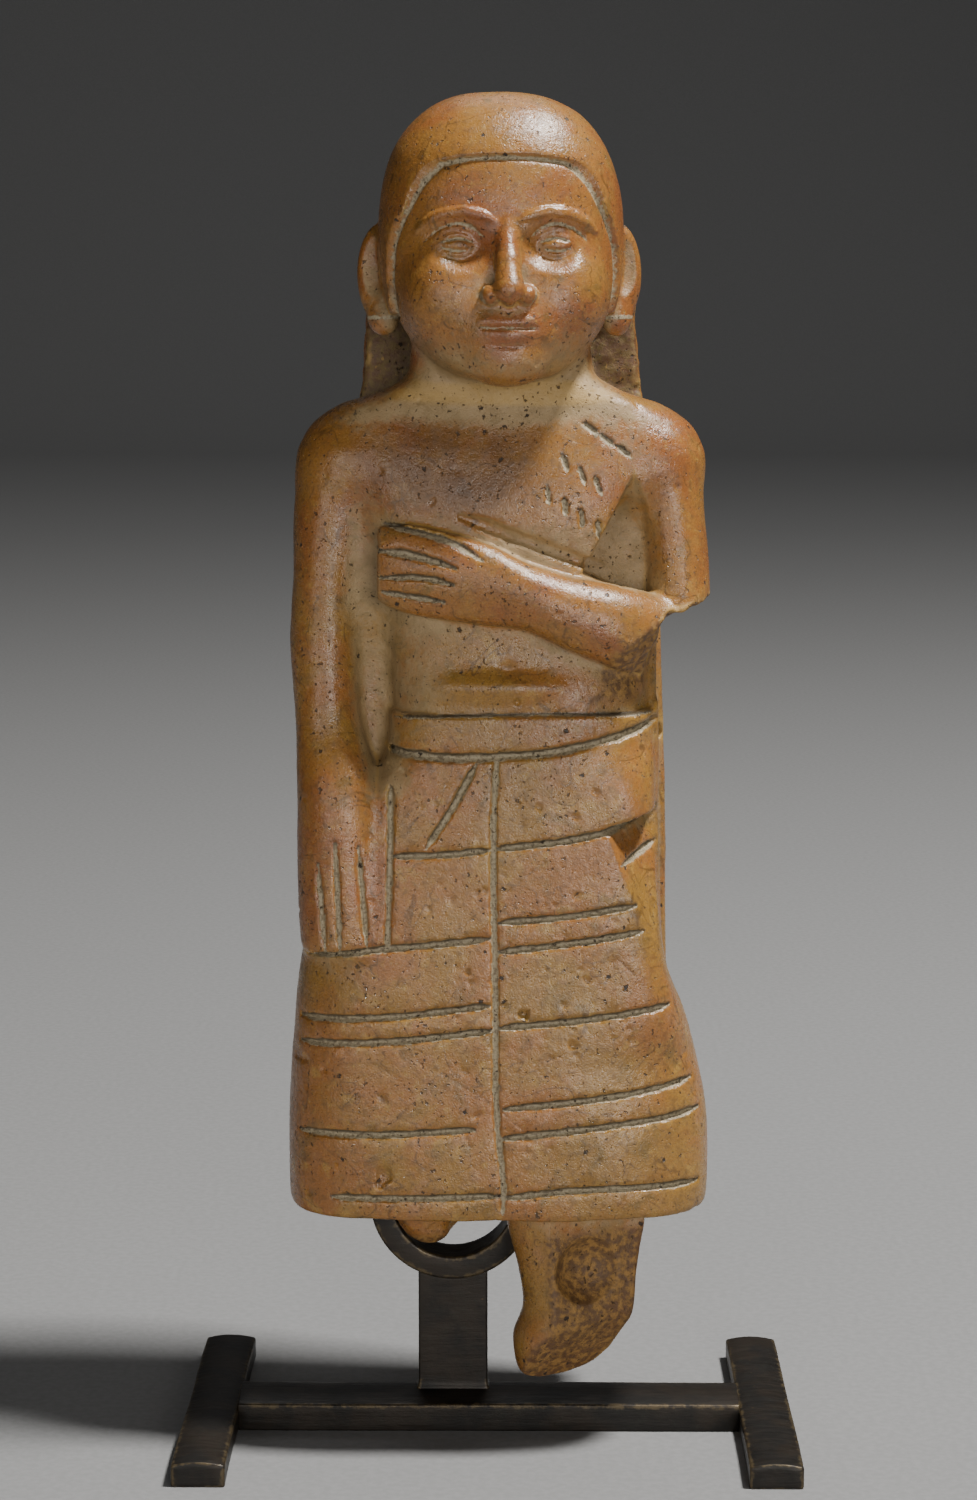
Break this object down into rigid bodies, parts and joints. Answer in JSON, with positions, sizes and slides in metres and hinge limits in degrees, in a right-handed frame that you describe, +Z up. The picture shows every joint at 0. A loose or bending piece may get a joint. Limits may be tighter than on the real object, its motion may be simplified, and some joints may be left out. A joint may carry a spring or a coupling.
{
  "type": "egyptian statuette",
  "caption": "Small carved stone statuette of a standing man in a long wrapped kilt, back slab behind, legs broken, resting in the cradle of a low metal stand.",
  "frame": {"origin": "on the ground at the middle of the stand's foot", "axes": "+Z up, the figure faces -Y, +X to the viewer's right when looking at its front"},
  "size_m": [0.0584, 0.0376, 0.1273],
  "materials": {
    "stone": "polished and worn soapstone, ochre with reddish and olive mottling, dark pits, pale deposit in the cuts",
    "stand_bronze": "bronze with a dark brown patina, satin, rubbed golden along the edges"
  },
  "bodies": {
    "root": {"figure": "stone", "stand_foot_left": "stand_bronze", "stand_foot_right": "stand_bronze", "stand_crossbar": "stand_bronze", "stand_post": "stand_bronze", "stand_cradle": "stand_bronze"}
  },
  "joints": []
}
